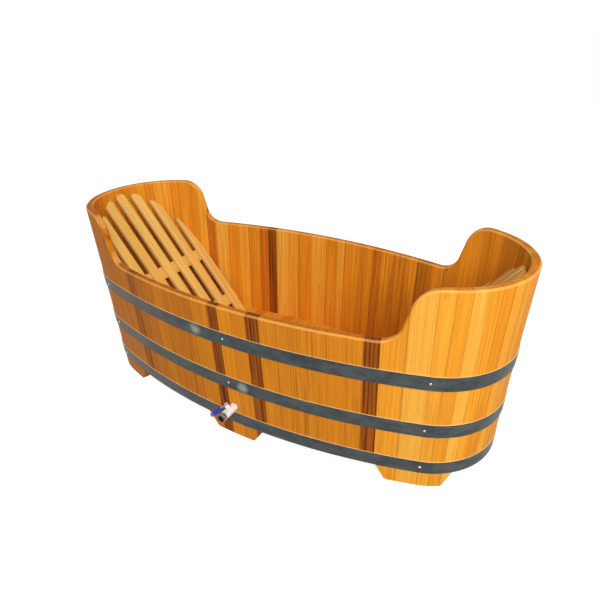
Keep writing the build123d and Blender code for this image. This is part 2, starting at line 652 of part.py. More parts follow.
def valve():
    """Body, end piece, seats, ball, stem and stem seal, and the outlet adaptor."""
    pipe, stem = drain_frame(), stem_frame()
    body = hexagon(pipe, VALVE_HEX_ACROSS, VALVE_START, BARREL_START)
    body = body + bar(pipe, BARREL_DIAMETER, BARREL_START, BARREL_END)
    body = body + bar(stem, BOSS_DIAMETER, 0, BOSS_TOP)
    body = body - bar(pipe, PIPE_DIAMETER, VALVE_START, PIPE_END)
    body = body - bar(pipe, PIPE_BORE, PIPE_END, CHAMBER_START)
    body = body - bar(pipe, CHAMBER_DIAMETER, CHAMBER_START, CHAMBER_END)
    body = body - bar(pipe, PLUG_DIAMETER, CHAMBER_END, BARREL_END)
    stem_hole = STEM_DIAMETER + 2 * RUNNING_CLEARANCE
    body = body - bar(stem, stem_hole, 0, BOSS_TOP)
    body = body - bar(stem, PACKING_DIAMETER, PACKING_START, BOSS_TOP)
    save("valve_body", [body])

    end = bar(pipe, PLUG_DIAMETER, CHAMBER_END, BARREL_END)
    end = end + hexagon(pipe, VALVE_HEX_ACROSS, BARREL_END, END_PIECE_END)
    end = end - bar(pipe, PIPE_BORE, CHAMBER_END, OUTLET_THREAD_START)
    end = end - bar(pipe, OUTLET_THREAD, OUTLET_THREAD_START, END_PIECE_END)
    save("valve_end_piece", [end])

    ball_room = pipe.location * Pos(0, 0, STEM_AT) * Sphere(BALL_DIAMETER / 2 + RUNNING_CLEARANCE)
    seats = []
    for start in (CHAMBER_START, CHAMBER_END - SEAT_RING_THICKNESS):
        ring = tube(pipe, CHAMBER_DIAMETER, PIPE_BORE, start, start + SEAT_RING_THICKNESS)
        seats.append(ring - ball_room)
    save("valve_seats", seats)

    tang_top = BALL_DIAMETER / 2 + RUNNING_CLEARANCE
    tang_start = BALL_DIAMETER / 2 - TANG_DEPTH
    tang = stem.location * Pos(0, 0, tang_start) * Box(TANG[0], TANG[1], tang_top - tang_start, align=LOW)
    ball = pipe.location * Pos(0, 0, STEM_AT) * Sphere(BALL_DIAMETER / 2)
    ball = ball - bar(pipe, PIPE_BORE, CHAMBER_START - PIPE_BORE, CHAMBER_END + PIPE_BORE) - tang
    save("valve_ball", [ball])

    nut_start = LEVER_START + LEVER_THICKNESS
    nut_end = nut_start + LEVER_NUT_THICKNESS
    shaft = bar(stem, STEM_DIAMETER, tang_top, LEVER_START) + tang
    shaft = shaft + bar(stem, STEM_THREAD, LEVER_START, nut_end)
    save("valve_stem", [shaft])
    save("valve_stem_packing", [tube(stem, PACKING_DIAMETER, stem_hole, PACKING_START,
                                     PACKING_START + PACKING_THICKNESS)])
    gland = bar(stem, PACKING_DIAMETER, PACKING_START + PACKING_THICKNESS, BOSS_TOP)
    gland = gland + hexagon(stem, GLAND_NUT_ACROSS, BOSS_TOP, GLAND_NUT_TOP)
    gland = gland - bar(stem, stem_hole, PACKING_START, GLAND_NUT_TOP)
    save("valve_gland_nut", [gland])
    nut = hexagon(stem, LEVER_NUT_ACROSS, nut_start, nut_end) - bar(stem, STEM_THREAD, nut_start, nut_end)
    save("lever_nut", [nut])

    washer_end = END_PIECE_END + ADAPTOR_WASHER[1]
    washer = tube(pipe, ADAPTOR_WASHER[0], OUTLET_THREAD, END_PIECE_END, washer_end)
    save("adaptor_washer", [washer])
    adaptor = bar(pipe, OUTLET_THREAD, OUTLET_THREAD_START, washer_end)
    adaptor = adaptor + bar(pipe, ADAPTOR_NECK, washer_end, ADAPTOR_COLLAR_START)
    adaptor = adaptor + bar(pipe, ADAPTOR_COLLAR, ADAPTOR_COLLAR_START, ADAPTOR_END)
    adaptor = adaptor - bar(pipe, PIPE_BORE, OUTLET_THREAD_START, ADAPTOR_END)
    adaptor = adaptor - bar(pipe, ADAPTOR_BORE, ADAPTOR_BORE_START, ADAPTOR_END)
    save("outlet_adaptor", [adaptor])


def lever():
    """A flat steel lever, cranked away from the valve, with a plastic sleeve on its arm."""
    stem = stem_frame()
    side = Plane(origin=stem.origin, x_dir=stem.x_dir, z_dir=-stem.y_dir)
    crank_start, crank_end, crank_rise = LEVER_CRANK
    low, high = LEVER_START, LEVER_START + LEVER_THICKNESS
    arm_end = LEVER_LENGTH - SLEEVE_END_WALL
    profile = Polygon(
        (-LEVER_HEAD_RADIUS, low), (crank_start, low), (crank_end, low + crank_rise),
        (arm_end, low + crank_rise), (arm_end, high + crank_rise), (crank_end, high + crank_rise),
        (crank_start, high), (-LEVER_HEAD_RADIUS, high), align=None)
    strip = extrude(side * profile, amount=LEVER_HEAD_RADIUS, both=True)
    head = Circle(LEVER_HEAD_RADIUS)
    arm = Rectangle(arm_end, LEVER_ARM_WIDTH, align=(Align.MIN, Align.CENTER))
    plan = extrude(stem.location * (head + arm), amount=high + crank_rise)
    plate = (strip & plan) - bar(stem, STEM_THREAD, low, high)
    save("valve_lever", [plate])

    width, height, corner = SLEEVE_SECTION
    arm_middle = low + crank_rise + LEVER_THICKNESS / 2
    mouth = Plane(origin=stem.origin, x_dir=stem.y_dir, z_dir=stem.x_dir)
    shape = extrude(RectangleRounded(width, height, corner), amount=LEVER_LENGTH - SLEEVE_START,
                    taper=-SLEEVE_FLARE)
    shape = mouth.location * Pos(0, arm_middle, SLEEVE_START) * shape
    end_edges = shape.faces().sort_by(Axis.Y)[0].edges()
    sleeve = fillet(end_edges, SLEEVE_END_ROUND) - plate
    save("lever_sleeve", [sleeve])


fixings = hoop_screws()
save_staves(staves(wall_runs(fixings)))
hoops(fixings)
floor()
backrests()
drain()
valve()
lever()
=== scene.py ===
from math import atan2, cos, pi, radians, sin

import bpy
from mathutils import Matrix, Vector


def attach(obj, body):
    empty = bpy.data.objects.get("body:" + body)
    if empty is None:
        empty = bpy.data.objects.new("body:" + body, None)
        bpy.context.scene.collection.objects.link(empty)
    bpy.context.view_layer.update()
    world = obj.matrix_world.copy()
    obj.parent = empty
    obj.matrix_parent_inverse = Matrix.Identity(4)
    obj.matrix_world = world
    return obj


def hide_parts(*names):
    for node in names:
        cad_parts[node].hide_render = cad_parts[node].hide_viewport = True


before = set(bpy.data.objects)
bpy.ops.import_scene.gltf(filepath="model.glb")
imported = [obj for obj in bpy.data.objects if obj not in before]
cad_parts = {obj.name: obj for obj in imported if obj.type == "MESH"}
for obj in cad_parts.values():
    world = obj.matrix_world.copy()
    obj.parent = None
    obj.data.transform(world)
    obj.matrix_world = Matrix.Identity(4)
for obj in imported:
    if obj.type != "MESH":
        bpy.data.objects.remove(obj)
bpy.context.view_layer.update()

# The wall's plan, in metres: an end arc at each end and a side arc along each side, all tangent
# and all leaning out at the same rate. Its middle lies behind the origin, because the valve
# stands out in front.
LENGTH = 1.9
WIDTH = 0.8
HIGH_RIM = 0.8
LOW_RIM = 0.6
END_RADIUS = 0.3114
FLARE = 0.0473
WALL = 0.03
REFERENCE_HEIGHT = 0.5
MIDDLE_Y = 0.0454048

END_X = LENGTH / 2 - END_RADIUS
BULGE = WIDTH / 2 - END_RADIUS + FLARE * (HIGH_RIM - LOW_RIM)
SIDE_Y = (END_X ** 2 - BULGE ** 2) / (2 * BULGE)
TANGENT = atan2(END_X, SIDE_Y)
END_REACH = END_RADIUS - FLARE * (HIGH_RIM - REFERENCE_HEIGHT)
SIDE_REACH = SIDE_Y + WIDTH / 2 - FLARE * (LOW_RIM - REFERENCE_HEIGHT)

# Hoops and their screws, in metres. A screw's dome is a sphere whose lower half is cut off.
HOOP_TOPS = (0.4965, 0.2965, 0.1240)
HOOP_HEIGHT = 0.056
HOOP_PROUD = 0.0031
HOOP_SCREW_FROM_TANGENT = 0.006
HOOP_SCREW = {
    "Head Radius": 0.0045, "Head Height": 0.0024, "Recess Length": 0.0050, "Recess Width": 0.0010,
    "Recess Middle": 0.0032, "Shank Radius": 0.0020, "Shank Length": 0.018, "Twist": pi / 2, "Seed": 4,
}
DOME_SEGMENTS = 24
SHANK_SEGMENTS = 16
SHANK_IN_HEAD = 0.0002
UNDER_HEAD = 0.02

# Backrests, in metres
REST_SLOPE = radians(51.5)
REST_FOOT_X = LENGTH / 2 - 0.5531
SLAT_PITCH = 0.081
SLAT_WIDTH = 0.046
BETWEEN_BATTENS = 0.25

# Floor, drain and the ribs round the outlet, in metres
FLOOR_TOP = 0.144
FLOOR_BOARDS = 34
FLOOR_IN_GROOVE = 0.0068
FLOOR_HALF_LENGTH = LENGTH / 2 - FLARE * (HIGH_RIM - FLOOR_TOP) - WALL + FLOOR_IN_GROOVE
BEARER_PITCH = 0.3
DRAIN_X = 0.012
DRAIN_Z = 0.152
DRAIN_WALL = WIDTH / 2 - FLARE * (LOW_RIM - DRAIN_Z)
OUTLET_RIB = {"Rib Width": 0.0020, "Rib Length": 0.0120, "Rib Height": 0.0012, "Twist": 0.0, "Seed": 1}
OUTLET_RIBS = 18
COLLAR_RADIUS = 0.0160
COLLAR_FROM_WALL = 0.079


def paint(red, green, blue):
    """A colour as it looks on a screen, 0 to 255, as the light it stands for."""
    shares = [channel / 255 for channel in (red, green, blue)]
    return tuple(c / 12.92 if c < 0.04045 else ((c + 0.055) / 1.055) ** 2.4 for c in shares)


# Wood tones of single boards
TONES = {
    "straw": paint(242, 174, 68),
    "honey": paint(240, 164, 54),
    "gold": paint(236, 156, 46),
    "amber": paint(230, 145, 38),
    "ochre": paint(216, 134, 34),
    "copper": paint(206, 124, 32),
    "rust": paint(208, 118, 32),
    "tan": paint(196, 120, 34),
    "walnut": paint(176, 100, 26),
    "umber": paint(158, 84, 22),
    "pine": paint(236, 188, 100),
    "maple": paint(228, 174, 84),
}
HEARTWOOD = paint(84, 34, 8)
# Painted highlight on the rim's eased edge
EASED_EDGE_HIGHLIGHT = paint(244, 184, 104)
# Painted highlight on the slats' edges
SLAT_ARRIS_HIGHLIGHT = paint(250, 216, 150)

# Tints that a tone is multiplied by
DEEP_GRAIN = (0.62, 0.44, 0.26)
PALE_GRAIN = (1.12, 1.14, 1.12)
RIM_TOP = (0.64, 0.52, 0.48)
BEHIND_REST = (0.40, 0.28, 0.20)
# Painted shade in the gaps between slats
SLAT_GAP_SHADE = (0.55, 0.40, 0.30)

# Sawn wood, in metres. The pith of each board's tree lies somewhere beside and behind the board,
# and its year rings have a width of their own.
PITH_ASIDE = 0.11
PITH_LEAST_BEHIND = 0.015
PITH_BEHIND = 0.09
PITH_LEAN = 0.05
RING_LEAST_WIDTH = 0.0042
RING_MORE_WIDTH = 0.0030
RING_WANDER = 0.020
KNOT_SWIRL = 0.018

# How much each mark darkens the wood
LATE_WOOD = 0.20
GRAIN_LINE = 0.44
FIBRE = 0.22
PORE = 0.18

# A joint between boards: its soft edge and its core on each side of it, in metres, and its depth
# as a share of the relief
STAVE_JOINT = (0.0012, 0.0002)
FLOOR_JOINT = (0.0011, 0.0002)
JOINT_DEPTH = 1.6

# Numbers from 0 to 1 that are far apart for neighbours
SEED_STEP = 0.618
RUN_SEED = 0.137
SEED_SHIFT = 37.0

# Gloss of the woods
OILED = {"Specular IOR Level": 0.04}
PLANED = {"Specular IOR Level": 0.06}

# Each stave from left to right: its width in millimetres, its tone and how streaky it is
FRONT_STAVES = (
    (75, "copper", 0.2), (66, "copper", 0.1), (64, "copper", 0.0), (52, "walnut", 0.5),
    (53, "tan", 0.2), (67, "copper", 0.1), (67, "ochre", 0.1), (77, "copper", 0.0),
    (74, "copper", 0.1), (82, "ochre", 0.0), (47, "umber", 0.9), (55, "amber", 0.0),
    (63, "ochre", 0.0), (49, "umber", 0.9), (69, "ochre", 0.0), (60, "ochre", 0.0),
    (75, "ochre", 0.2), (45, "ochre", 0.1), (69, "ochre", 0.0), (52, "ochre", 0.1),
    (52, "umber", 0.8), (78, "gold", 0.0), (80, "straw", 0.0),
)
BACK_STAVES = (
    (47, "amber", 0.0), (48, "honey", 0.0), (47, "rust", 0.1), (68, "straw", 0.0),
    (59, "amber", 0.0), (60, "honey", 0.0), (63, "amber", 0.1), (44, "rust", 0.1),
    (47, "umber", 0.6), (60, "straw", 0.0), (63, "honey", 0.0), (64, "amber", 0.0),
    (81, "honey", 0.0), (61, "amber", 0.1), (40, "honey", 0.0), (72, "amber", 0.0),
    (35, "ochre", 0.1), (36, "amber", 0.0), (36, "rust", 0.2), (67, "amber", 0.3),
    (61, "ochre", 0.2), (59, "amber", 0.2), (61, "tan", 0.2), (60, "amber", 0.1),
    (60, "ochre", 0.0), (79, "amber", 0.0),
)
RIGHT_END_STAVES = tuple((44, tone, 0.0) for tone in (
    "honey", "gold", "straw", "gold", "amber", "honey", "gold", "amber", "gold", "amber", "ochre",
    "gold", "ochre", "amber", "ochre", "amber", "ochre"))
LEFT_END_STAVES = tuple((44, tone, 0.0) for tone in (
    "gold", "amber", "gold", "honey", "amber", "gold", "amber", "ochre", "amber", "gold", "amber",
    "ochre", "copper", "ochre", "copper", "tan", "copper"))

# Runs of the wall: arc centre, reach at the reference height, middle angle, half the angle, and
# the staves anticlockwise as seen from above
RUNS = {
    "front": ((0, MIDDLE_Y + SIDE_Y), SIDE_REACH, -pi / 2, TANGENT, FRONT_STAVES),
    "right_end": ((END_X, MIDDLE_Y), END_REACH, 0.0, pi / 2 - TANGENT, RIGHT_END_STAVES),
    "back": ((0, MIDDLE_Y - SIDE_Y), SIDE_REACH, pi / 2, TANGENT, BACK_STAVES[::-1]),
    "left_end": ((-END_X, MIDDLE_Y), END_REACH, pi, pi / 2 - TANGENT, LEFT_END_STAVES),
}

# Knots and swirls of a run: place round the outside from the run's middle, height, half width,
# half height and how dark the heart is
KNOTS = {
    "front": ((-0.040, 0.225, 0.022, 0.030, 0.5), (0.700, 0.560, 0.034, 0.260, 0.0)),
    "back": ((-0.610, 0.600, 0.012, 0.020, 0.4), (0.020, 0.340, 0.010, 0.018, 0.4)),
    "right_end": (),
    "left_end": ((0.160, 0.520, 0.012, 0.020, 0.4),),
}

# Colours of the hoops, and the pale smears on their front: x, height and half length
STEEL = {
    "dark": paint(42, 50, 52),
    "worn": paint(72, 80, 78),
    "brushed": paint(112, 116, 114),
    "scratch": paint(34, 40, 42),
    # Painted reflection of the wood
    "warm_reflection": paint(98, 80, 66),
    "smear": paint(176, 190, 180),
    "fleck": paint(34, 38, 40),
    # Painted highlight along the top edge
    "edge_highlight": paint(240, 204, 140),
}
HOOP_SMEARS = ((-0.135, 0.470, 0.04), (0.065, 0.268, 0.03))
SMEAR_HALF_HEIGHT = 0.03

# Metals: colour, dulled colour, roughness, cast skin, metallic, and the sub-parts that have them
METALS = {
    "screw_steel": (
        paint(214, 214, 212), paint(168, 168, 166), 0.22, 0.0, 1.0,
        ("hoop_screws", "floor_bearer_screws", "left_backrest_screws", "right_backrest_screws")),
    # Near-white and barely metallic: pale nickel plate with a painted reflection of the white surroundings
    "nickel_plate": (
        paint(250, 248, 246), paint(226, 220, 212), 0.26, 0.6, 0.15,
        ("drain_pipe", "drain_strainer", "drain_lock_nut", "valve_body", "valve_end_piece",
         "valve_stem", "valve_gland_nut")),
    "tarnished_chrome": (
        paint(74, 76, 70), paint(50, 52, 46), 0.2, 0.0, 0.8, ("outlet_adaptor",)),
    # Painted highlights: the pale ribs round the outlet's dark collar
    "rubbed_chrome": (
        paint(232, 228, 216), paint(188, 182, 168), 0.2, 0.0, 0.4, ()),
    "polished_ball": (
        paint(232, 232, 232), paint(214, 214, 214), 0.05, 0.0, 1.0, ("valve_ball",)),
    "lever_steel": (
        paint(222, 214, 208), paint(178, 170, 164), 0.24, 0.0, 0.6, ("valve_lever", "lever_nut")),
}

# Plastics and rubber: colour, shaded colour, roughness, coat, and the sub-parts that have them
SOFT_STUFFS = {
    "blue_sleeve": (paint(34, 66, 206), paint(24, 48, 176), 0.24, 0.6, ("lever_sleeve",)),
    "black_rubber": (
        paint(26, 26, 26), paint(38, 38, 38), 0.6, 0.0,
        ("drain_inner_washer", "drain_outer_washer", "adaptor_washer")),
    "white_seal": (
        paint(236, 236, 230), paint(222, 222, 214), 0.4, 0.0, ("valve_seats", "valve_stem_packing")),
}

# Camera of the photograph. Its place is in metres, its angles are in radians and its lens is in
# the photograph's pixels.
CAMERA_PLACE = Vector((1.05306, -1.56836 + MIDDLE_Y, 1.44100))
CAMERA_YAW = 0.551072
CAMERA_PITCH = 0.486485
CAMERA_ROLL = -0.020205
FOCAL_PIXELS = 504.957
PHOTO_WIDTH = 600
SENSOR_WIDTH = 36.0

# Soft panels of light that face the tub: place, side and power
LIT_PLACE = Vector((0.0, 0.0, 0.4))
PANELS = {
    "key_panel": (Vector((3.2, -3.0, 3.6)), 2.4, 240),
    "fill_panel": (Vector((-3.4, -1.8, 2.6)), 3.0, 8),
}
WHITE = (1.0, 1.0, 1.0, 1.0)
SKY_LIGHT = 0.42
FLOOR_WHITE = (0.45, 0.45, 0.45, 1.0)
FLOOR_GLOW = 0.81
FLOOR_REACH = 400.0


class Field:
    """What a node gives: a number, vector, colour, shader or shape for other nodes."""

    def __init__(self, tree, socket):
        self.tree = tree
        self.socket = socket

    def beside(self, output):
        """Another output of the same node."""
        return Field(self.tree, self.socket.node.outputs[output])

    def _math(self, operation, *values):
        return self.tree.node("ShaderNodeMath", {"operation": operation}, dict(enumerate(values)))

    def __add__(self, other):
        return self._math("ADD", self, other)

    def __radd__(self, other):
        return self._math("ADD", other, self)

    def __sub__(self, other):
        return self._math("SUBTRACT", self, other)

    def __rsub__(self, other):
        return self._math("SUBTRACT", other, self)

    def __mul__(self, other):
        return self._math("MULTIPLY", self, other)

    def __rmul__(self, other):
        return self._math("MULTIPLY", other, self)

    def __truediv__(self, other):
        return self._math("DIVIDE", self, other)

    def root(self):
        return self._math("SQRT", self)

    def whole(self):
        return self._math("FLOOR", self)

    def rest(self):
        return self._math("FRACT", self)

    def size(self):
        return self._math("ABSOLUTE", self)

    def most(self, other):
        return self._math("MAXIMUM", self, other)

    def turn_from(self, other):
        """The angle whose sine is to its cosine as this is to the other."""
        return self._math("ARCTAN2", self, other)

    def step(self, low, high):
        """A smooth step from 0 at low to 1 at high. The other way round it falls."""
        if low < high:
            return self.tree.node(
                "ShaderNodeMapRange", {"interpolation_type": "SMOOTHSTEP"},
                {"Value": self, "From Min": low, "From Max": high})
        return 1 - self.step(high, low)


def distance(aside, ahead):
    return (aside * aside + ahead * ahead).root()


class Tree:
    """A node tree in the making."""

    def __init__(self, tree):
        self.tree = tree
        self.tree.nodes.clear()

    def node(self, kind, settings=None, inputs=None, output=0):
        """Any node. Settings come first, and stops are a ramp's (place, colour) pairs. A list of
        fields goes into one input that takes several."""
        made = self.tree.nodes.new(kind)
        settings = dict(settings or {})
        stops = settings.pop("stops", ())
        for name, value in settings.items():
            setattr(made, name, value)
        if stops:
            self.set_stops(made.color_ramp, stops)
        for key, value in (inputs or {}).items():
            for single in value if isinstance(value, list) else [value]:
                if isinstance(single, Field):
                    self.tree.links.new(single.socket, made.inputs[key])
                else:
                    made.inputs[key].default_value = single
        return Field(self, made.outputs[output]) if made.outputs else None

    def set_stops(self, ramp, stops):
        """All stops get their place before any gets its colour, as a ramp sorts its stops."""
        ramp.interpolation = "CONSTANT"
        while len(ramp.elements) < len(stops):
            ramp.elements.new(1.0)
        for element, (position, colour) in zip(ramp.elements, stops):
            element.position = position
        for element, (position, colour) in zip(ramp.elements, stops):
            element.color = colour

    def vector(self, x, y, z):
        return self.node("ShaderNodeCombineXYZ", {}, {0: x, 1: y, 2: z})

    def parts(self, vector):
        split = self.node("ShaderNodeSeparateXYZ", {}, {0: vector})
        return [split.beside(i) for i in range(3)]


def opaque(colour):
    """A plain colour with its alpha. A field stays as it is."""
    return colour if isinstance(colour, Field) else (*colour, 1.0)


class Finish(Tree):
    """A material in the making, whose x, y and z are in metres."""

    def __init__(self, name):
        self.material = bpy.data.materials.new(name)
        self.material.use_nodes = True
        super().__init__(self.material.node_tree)
        self.x, self.y, self.z = self.parts(self.node("ShaderNodeTexCoord", output="Object"))

    def noise(self, x, y, z, detail=2.0, roughness=0.5):
        """Soft noise between 0 and 1 at a place already stretched to the wanted scale."""
        return self.node("ShaderNodeTexNoise", {}, {
            "Vector": self.vector(x, y, z), "Scale": 1.0, "Detail": detail, "Roughness": roughness})

    def chance(self, seed):
        """Three unlike numbers between 0 and 1 for each seed."""
        return self.parts(self.node(
            "ShaderNodeTexWhiteNoise", {"noise_dimensions": "1D"}, {"W": seed}, output="Color"))

    def mixed(self, blend_type, factor, first, second):
        return self.node(
            "ShaderNodeMix", {"data_type": "RGBA", "blend_type": blend_type, "clamp_factor": True},
            {0: factor, 6: opaque(first), 7: opaque(second)}, output=2)

    def blend(self, factor, first, second):
        return self.mixed("MIX", factor, first, second)

    def tinted(self, colour, tint):
        return self.mixed("MULTIPLY", 1.0, colour, tint)

    def facing(self):
        """X, Y and Z of the surface's own normal."""
        return self.parts(self.node("ShaderNodeNewGeometry", output="True Normal"))

    def surface(self, colour, roughness, height, relief, fixed=None):
        """Closes the material with a shader. The relief is in metres, and the fixed values of the
        shader's own sockets hold all over the surface."""
        normal = self.node("ShaderNodeBump", {}, {"Height": height, "Strength": 1.0, "Distance": relief})
        shader = self.node("ShaderNodeBsdfPrincipled", {}, {
            "Base Color": colour, "Roughness": roughness, "Normal": normal, **(fixed or {})})
        self.node("ShaderNodeOutputMaterial", {}, {"Surface": shader})
        return self.material


def sawn_wood(f, across, depth, along, seed, tone, streaks=0.0, swirl=0.0, contrast=1.0):
    """Colour, roughness and height of a board. across and depth run over its section and along
    runs with the grain, in metres. The grain follows rings round a pith beside the board, and each
    noise has so many features a metre across and along it."""
    chance = f.chance(seed)
    pith_across = (chance[0] - 0.5) * PITH_ASIDE
    pith_depth = chance[1] * PITH_BEHIND + PITH_LEAST_BEHIND
    lean = (chance[2] - 0.5) * PITH_LEAN
    ring_width = chance[1] * RING_MORE_WIDTH + RING_LEAST_WIDTH
    shift = seed * SEED_SHIFT
    wander = f.noise(across * 7.0 + shift, depth * 7.0, along * 1.4, detail=3.0)
    from_pith = distance(across - pith_across - lean * along, depth + pith_depth)
    ring = ((from_pith + (wander - 0.5) * RING_WANDER + swirl) / ring_width).rest()
    late = ring.step(0.30, 0.90) * ring.step(1.0, 0.93)

    fibre = f.noise(across * 1100.0 + shift, depth * 1100.0, along * 22.0, detail=3.0, roughness=0.65)
    band = f.noise(across * 46.0 + shift, depth * 46.0, along * 1.6, detail=2.0, roughness=0.6)
    line = f.noise(across * 150.0 + shift, depth * 110.0, along * 2.2, detail=4.0, roughness=0.62)
    pore = f.noise(across * 760.0, depth * 760.0 + shift, along * 34.0, detail=1.0).step(0.66, 0.74)

    colour = f.blend(band.step(0.30, 0.70), f.tinted(tone, PALE_GRAIN), tone)
    grain = late * LATE_WOOD + line.step(0.40, 0.76) * GRAIN_LINE
    grain = grain + fibre.step(0.45, 0.85) * FIBRE + pore * PORE
    colour = f.blend(grain * contrast, colour, f.tinted(tone, DEEP_GRAIN))
    vein = line.step(0.46, 0.60) * streaks
    faint_vein = line.step(0.64, 0.74) * 0.16 * contrast
    colour = f.blend(vein.most(faint_vein), colour, HEARTWOOD)
    roughness = fibre * 0.12 + late * 0.06 + 0.42
    height = fibre * 0.35 - late * 0.25 - pore * 0.5
    return colour, roughness, height


def stave_at(f, staves, share):
    """Start, end, seed, streaks and tone of the stave that lies at a share of its run."""
    total = sum(width for width, tone, streaks in staves)
    edges, tones = [], []
    start = 0
    for i, (width, tone, streaks) in enumerate(staves):
        seed = (i * SEED_STEP + RUN_SEED * len(staves)) % 1
        edges.append((start / total, (start / total, (start + width) / total, seed, streaks)))
        tones.append((start / total, (*TONES[tone], 1.0)))
        start += width
    plan = f.node("ShaderNodeValToRGB", {"stops": edges}, {0: share})
    tone = f.node("ShaderNodeValToRGB", {"stops": tones}, {0: share})
    return (*f.parts(plan), plan.beside("Alpha"), tone)


def knots_at(f, knots, around):
    """How far the knots push the grain aside, and how much heartwood shows."""
    swirl, heart = 0.0, 0.0
    for place, height, half_width, half_height, dark in knots:
        near = distance((around - place) / half_width, (f.z - height) / half_height)
        swirl = near.step(1.6, 0.0) * KNOT_SWIRL + swirl
        heart = near.step(0.55, 0.12) * dark + heart
    return swirl, heart


def on_backrest(f, outward):
    """How far up the slope of a backrest a place lies, and how far behind its slats' faces."""
    out = outward - REST_FOOT_X
    up = f.z - FLOOR_TOP
    along = out * cos(REST_SLOPE) + up * sin(REST_SLOPE)
    depth = out * sin(REST_SLOPE) - up * cos(REST_SLOPE)
    return along, depth


def rim_marks(f, colour):
    """Darker end grain on top of the rim, and a painted highlight on the eased edge beside it."""
    upward = f.facing()[2]
    on_rim = f.z.step(0.55, 0.58)
    top = upward.step(0.86, 0.94) * on_rim
    # Painted highlight on the eased edge, on faces that look half up
    eased = upward.step(0.35, 0.50) * upward.step(0.93, 0.85) * on_rim
    colour = f.blend(top * 0.65, colour, f.tinted(colour, RIM_TOP))
    return f.blend(eased * 0.40, colour, EASED_EDGE_HIGHLIGHT)


def backrest_shade(f, colour, depth):
    """Darker wood inside the wall, behind the backrests, where no light reaches it."""
    along, behind = on_backrest(f, f.x.size())
    shaded = behind.step(0.03, 0.08) * depth.step(0.02, 0.026) * f.z.step(0.70, 0.55)
    return f.blend(shaded * 0.45, colour, f.tinted(colour, BEHIND_REST))


def hoop_shadows(f, colour, depth):
    """Painted shadow: dark lines outside the wall, along the lower edges of the hoops."""
    hoop_shadow = 0.0
    for top in HOOP_TOPS:
        hoop_shadow = (f.z - (top - HOOP_HEIGHT)).size().step(0.006, 0.0).most(hoop_shadow)
    outside = depth.step(0.004, 0.001)
    return f.blend(hoop_shadow * outside * 0.40, colour, HEARTWOOD)


def stave_wood(name):
    """Wood of one run of the wall, in staves that taper with the wall's lean."""
    centre, reach, middle, half, staves = RUNS[name]
    f = Finish(name + "_stave_wood")
    aside = f.x - centre[0]
    ahead = f.y - centre[1]
    forward = aside * cos(middle) + ahead * sin(middle)
    sideways = ahead * cos(middle) - aside * sin(middle)
    angle = sideways.turn_from(forward)
    outer = (f.z - REFERENCE_HEIGHT) * FLARE + reach
    depth = outer - distance(forward, sideways)
    share = angle / (2 * half) + 0.5
    start, end, seed, streaks, tone = stave_at(f, staves, share)
    span = 2 * half * outer
    across = (share - (start + end) * 0.5) * span
    to_joint = (end - start) * span * 0.5 - across.size()

    swirl, heart = knots_at(f, KNOTS[name], angle * outer)
    colour, roughness, height = sawn_wood(f, across, depth, f.z, seed, tone, streaks, swirl)
    colour = f.blend(heart, colour, HEARTWOOD)
    joint = to_joint.step(*STAVE_JOINT)
    colour = f.blend(joint * 0.24, colour, HEARTWOOD)
    colour = rim_marks(f, colour)
    colour = backrest_shade(f, colour, depth)
    colour = hoop_shadows(f, colour, depth)
    return f.surface(colour, roughness, height - joint * JOINT_DEPTH, relief=0.0004, fixed=OILED)


def slat_wood(name, side):
    """Planed light wood of a backrest's slats, with the grain up the slope. side is -1 for the
    backrest at the left end and 1 at the right end."""
    f = Finish(name)
    along, depth = on_backrest(f, f.x * side)
    place = (f.y - MIDDLE_Y) / SLAT_PITCH
    index = (place + 0.5).whole()
    across = (place - index) * SLAT_PITCH
    seed = (index * SEED_STEP + 7.3 + 3.1 * side).rest()
    first, second = ("pine", "maple") if side < 0 else ("maple", "ochre")
    tone = f.blend(f.chance(seed + 5.0)[0], TONES[first], TONES[second])
    colour, roughness, height = sawn_wood(f, across, depth, along, seed, tone, contrast=0.6)
    # Painted highlight along both edges of each slat
    arris_highlight = (SLAT_WIDTH / 2 - across.size()).step(0.0040, 0.0012)
    colour = f.blend(arris_highlight * 0.45, colour, SLAT_ARRIS_HIGHLIGHT)
    # Painted shade on the slats' sides deep down, in the gaps between slats
    low = depth.step(0.010, 0.018)
    colour = f.blend(low * 0.55, colour, f.tinted(colour, SLAT_GAP_SHADE))
    return f.surface(colour, roughness, height, relief=0.0003, fixed=PLANED)


def batten_wood(name, side):
    """The same wood with the grain across the tub. The lower and upper batten are unlike."""
    f = Finish(name)
    along, depth = on_backrest(f, f.x * side)
    upper = along.step(BETWEEN_BATTENS - 0.01, BETWEEN_BATTENS + 0.01)
    seed = upper * 0.4 + 0.2 + 0.1 * side
    colour, roughness, height = sawn_wood(
        f, along * 0.3, depth, f.y, seed, TONES["maple"], contrast=0.45)
    return f.surface(colour, roughness, height, relief=0.0003, fixed=PLANED)


def floor_wood():
    """Boards that run across the tub."""
    f = Finish("floor_board_wood")
    pitch = 2 * FLOOR_HALF_LENGTH / FLOOR_BOARDS
    place = (f.x + FLOOR_HALF_LENGTH) / pitch
    index = place.whole()
    across = (place - index - 0.5) * pitch
    seed = (index * SEED_STEP + 0.21).rest()
    tone = f.blend(f.chance(seed + 2.0)[0], TONES["honey"], TONES["ochre"])
    colour, roughness, height = sawn_wood(f, across, FLOOR_TOP - f.z, f.y, seed, tone)
    joint = (pitch / 2 - across.size()).step(*FLOOR_JOINT)
    colour = f.blend(joint * 0.6, colour, HEARTWOOD)
    return f.surface(colour, roughness, height - joint * JOINT_DEPTH, relief=0.0004, fixed=OILED)


def bearer_wood():
    """Bearers under the floor, rougher sawn. The front and back one are unlike."""
    f = Finish("bearer_wood")
    at_back = f.y.step(MIDDLE_Y - 0.01, MIDDLE_Y + 0.01)
    across = f.y - MIDDLE_Y - (at_back - 0.5) * BEARER_PITCH
    colour, roughness, height = sawn_wood(f, across, f.z, f.x, at_back * 0.4 + 0.3, TONES["tan"])
    return f.surface(colour, roughness + 0.2, height, relief=0.0006)


